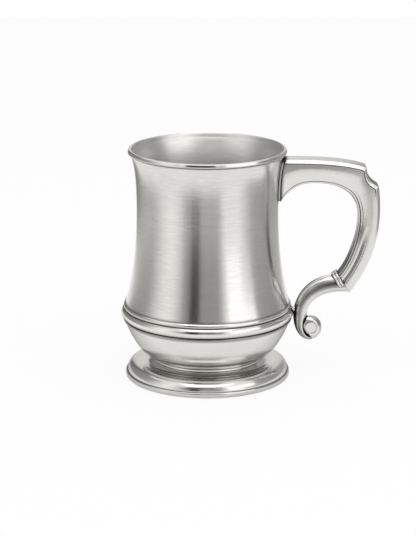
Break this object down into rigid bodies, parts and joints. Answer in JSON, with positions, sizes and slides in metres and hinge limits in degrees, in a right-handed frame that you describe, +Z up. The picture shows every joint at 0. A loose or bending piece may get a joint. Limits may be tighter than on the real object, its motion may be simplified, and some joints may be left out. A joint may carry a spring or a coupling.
{
  "type": "tankard",
  "caption": "Bellied pewter drinking tankard: flared barrel, reeded belly band, short bowl on a pedestal foot, and a cast scroll handle with a thumb notch.",
  "frame": {"origin": "middle of the standing plane, on the vessel's axis", "axes": "+Z up along the vessel's axis, +X from the axis towards the handle"},
  "size_m": [0.144, 0.0968, 0.13],
  "materials": {
    "spun_pewter": "satin, with fine turned lines round the axis",
    "trim_pewter": "bright turned trim",
    "cast_pewter": "polished casting"
  },
  "bodies": {
    "root": {"barrel": "spun_pewter", "belly_bowl": "spun_pewter", "foot": "spun_pewter", "lip_wire": "trim_pewter", "belly_band": "trim_pewter", "foot_wire": "trim_pewter", "foot_rim": "trim_pewter", "handle_pad": "cast_pewter", "handle_grip": "cast_pewter", "handle_collar": "cast_pewter", "handle_scroll": "cast_pewter", "handle_peg": "cast_pewter"}
  },
  "joints": []
}
